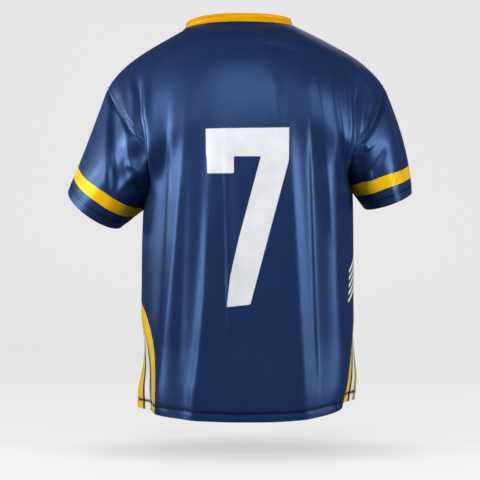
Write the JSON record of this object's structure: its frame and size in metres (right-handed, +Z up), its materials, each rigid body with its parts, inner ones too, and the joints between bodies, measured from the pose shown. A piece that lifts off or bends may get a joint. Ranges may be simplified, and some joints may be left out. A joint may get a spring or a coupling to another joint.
{
  "type": "lacrosse jersey",
  "caption": "Short-sleeved knit team jersey, filled out as worn, open at neck, cuffs and hem, with a collar band, inset sleeve bands and flared side panels.",
  "frame": {"origin": "middle of the line over the shoulders at the base of the neck, where the wearer's shoulders hold the jersey", "axes": "+Z up, +Y the way the wearer faces, so the back of the jersey faces -Y, and +X to the wearer's right"},
  "size_m": [0.6121, 0.2754, 0.7096],
  "materials": {
    "navy_knit": "satin polyester double knit, navy",
    "side_knit": "satin polyester double knit, printed gold, navy and white",
    "gold_knit": "satin polyester double knit, gold"
  },
  "bodies": {
    "root": {"back": "navy_knit", "front": "navy_knit", "side_panel_left": "side_knit", "side_panel_right": "side_knit", "sleeve_left": "navy_knit", "sleeve_right": "navy_knit", "sleeve_band_left": "gold_knit", "sleeve_band_right": "gold_knit", "cuff_left": "navy_knit", "cuff_right": "navy_knit", "collar": "gold_knit"}
  },
  "joints": []
}
